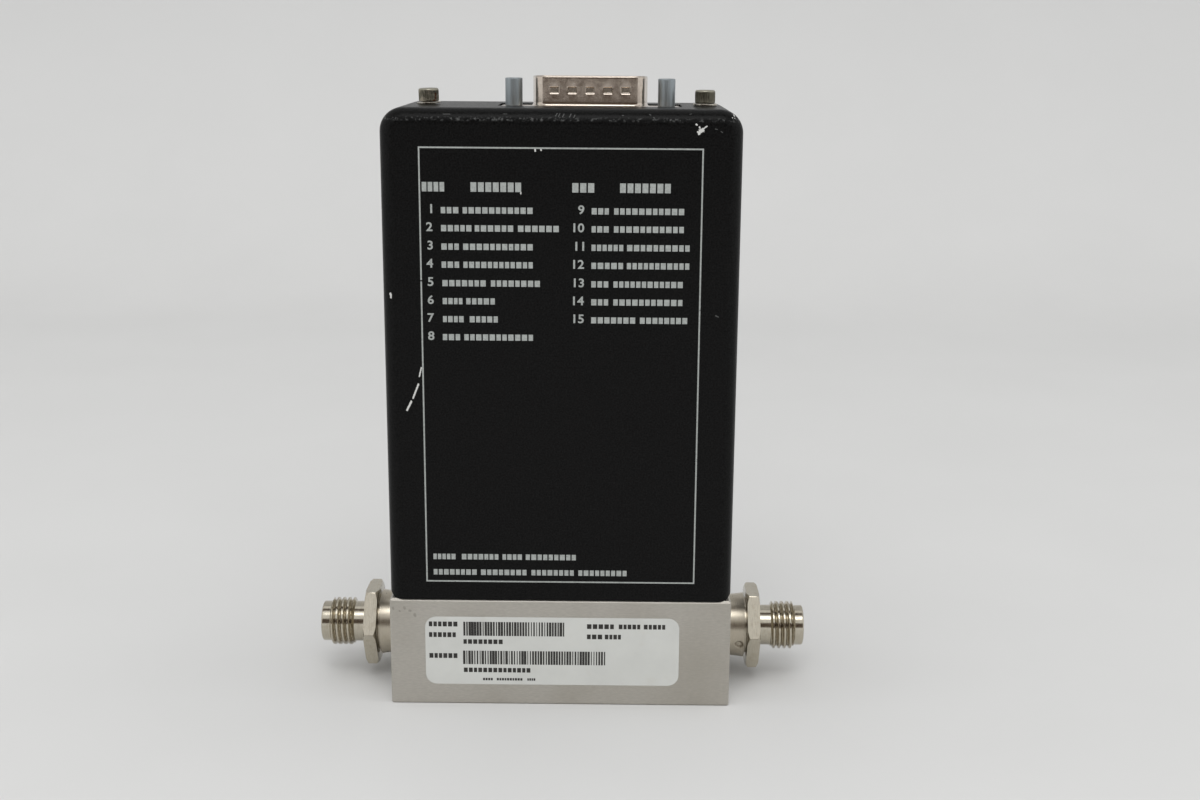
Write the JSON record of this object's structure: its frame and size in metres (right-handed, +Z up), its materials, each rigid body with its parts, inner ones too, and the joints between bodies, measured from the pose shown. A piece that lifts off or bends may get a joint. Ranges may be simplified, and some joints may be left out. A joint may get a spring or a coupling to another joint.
{
  "type": "mass flow meter",
  "caption": "Gas mass flow meter: bored metal base with a compression fitting at each end, sensor and board under a black drawn cover, multi-pin plug on top.",
  "frame": {"origin": "centre of the base's underside", "axes": "+X along the flow from inlet to outlet, -Y towards the printed front, +Z up to the plug"},
  "size_m": [0.113, 0.0383, 0.1389],
  "materials": {
    "steel_base": "fine-ground satin stainless steel",
    "steel_bright": "turned bright stainless steel",
    "steel_inner": "plain stainless steel",
    "seal": "matt black rubber",
    "copper_coil": "varnished winding wire",
    "aluminium_sheet": "mill finish sheet",
    "zinc_screw": "zinc plated",
    "board_green": "solder resist on glass-fibre board",
    "spacer_nylon": "natural nylon",
    "chip_black": "moulded epoxy",
    "capacitor_sleeve": "shrunk sleeve",
    "resistor_body": "coated ceramic",
    "trimmer_blue": "moulded case",
    "brass_screw": "turned brass",
    "plated_shell": "tin-plated steel",
    "insulator": "glass-filled moulding",
    "pin_gold": "flash gold over nickel",
    "post_dark": "blue-grey phosphate on steel",
    "cover_paint": "black fine-texture powder paint",
    "screw_olive": "aged dark olive plating",
    "label_white": "satin off-white polyester"
  },
  "bodies": {
    "meter": {"base_block": "steel_base", "inlet_fitting": "steel_bright", "outlet_fitting": "steel_bright", "inlet_oring": "seal", "outlet_oring": "seal", "inlet_screen": "steel_inner", "flow_element": "steel_inner", "sensor_seals": "seal", "sensor_block": "steel_inner", "sensor_tube": "steel_inner", "upstream_coil": "copper_coil", "downstream_coil": "copper_coil", "sensor_leads": "copper_coil", "sensor_can": "aluminium_sheet", "sensor_screws": "zinc_screw", "chassis_bracket": "aluminium_sheet", "bracket_screws": "zinc_screw", "circuit_board": "board_green", "board_spacers": "spacer_nylon", "board_screws": "zinc_screw", "logic_chips": "chip_black", "power_capacitors": "capacitor_sleeve", "chip_resistors": "resistor_body", "zero_trimmer": "trimmer_blue", "connector_front_shell": "plated_shell", "connector_insulator": "insulator", "connector_rear_shell": "plated_shell", "connector_pins": "pin_gold", "jack_posts": "post_dark", "jack_post_nuts": "zinc_screw", "cover": "cover_paint", "cover_washers": "zinc_screw", "cover_screws": "screw_olive", "id_label": "label_white"},
    "zero_screw": {"zero_screw": "brass_screw"}
  },
  "joints": [
    {"name": "zero_adjust", "type": "hinge", "parent": "meter", "child": "zero_screw", "pos_m": [-0.031, -0.0032, 0.103], "axis": [1, 0, 0], "continuous": true}
  ]
}
